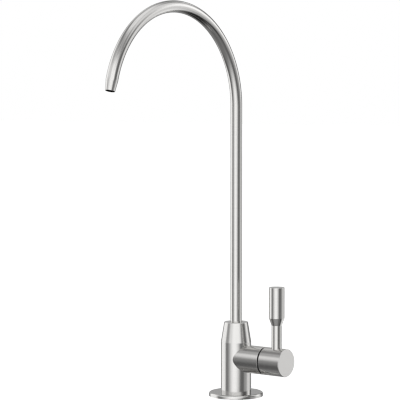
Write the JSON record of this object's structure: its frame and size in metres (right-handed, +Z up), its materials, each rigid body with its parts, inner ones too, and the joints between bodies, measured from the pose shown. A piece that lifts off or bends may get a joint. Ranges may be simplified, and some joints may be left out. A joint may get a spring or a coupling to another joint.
{
  "type": "drinking water tap",
  "caption": "Satin steel drinking water tap: slim gooseneck spout that swivels on a round column, side lever on a quarter-turn valve, deck flange, threaded shank and nut.",
  "frame": {"origin": "centre of the base flange's underside, on the deck plane and on the column's axis", "axes": "+Z up along the column, +X along the valve arm and handle, -Y the way the spout reaches at rest"},
  "size_m": [0.0764, 0.1894, 0.395],
  "materials": {
    "brushed_steel": "satin, brushed round the axis",
    "plain_steel": "plain turned steel",
    "brass": "turned",
    "black_rubber": "matte",
    "black_plastic": "matte",
    "white_plastic": "matte",
    "ceramic": "lapped"
  },
  "bodies": {
    "tap_body": {"base_flange": "brushed_steel", "base_gasket": "black_rubber", "threaded_shank": "plain_steel", "shank_seal": "black_rubber", "valve_body": "brushed_steel", "spout_collar": "brushed_steel", "spout_bush": "white_plastic", "lower_glide_washer": "white_plastic", "upper_glide_washer": "white_plastic", "cartridge_housing": "brass", "cartridge_seat_seal": "black_rubber", "fixed_ceramic_disc": "ceramic", "cartridge_o_ring": "black_rubber", "cartridge_nut": "brass", "handle_gap_ring": "black_plastic"},
    "handle": {"handle_hub": "brushed_steel", "handle_lever": "brushed_steel", "hub_grub_screw": "plain_steel", "cartridge_spindle": "brass", "spindle_o_rings": "black_rubber", "spindle_clip": "plain_steel", "moving_ceramic_disc": "ceramic"},
    "spout": {"spout_tube": "brushed_steel", "spout_sleeve": "brass", "spout_o_rings": "black_rubber"},
    "deck_nut": {"deck_spacer": "white_plastic", "lock_washer": "plain_steel", "mounting_nut": "plain_steel"}
  },
  "joints": [
    {"name": "spout_swivel", "type": "hinge", "parent": "tap_body", "child": "spout", "pos_m": [0, 0, 0.0525], "axis": [0, 0, 1], "continuous": true},
    {"name": "handle_turn", "type": "hinge", "parent": "tap_body", "child": "handle", "pos_m": [0.0425, 0, 0.0327], "axis": [1, 0, 0], "range_deg": [0, 90]},
    {"name": "nut_travel", "type": "slide", "parent": "tap_body", "child": "deck_nut", "axis": [0, 0, 1], "range_m": [-0.012, 0.018]}
  ]
}
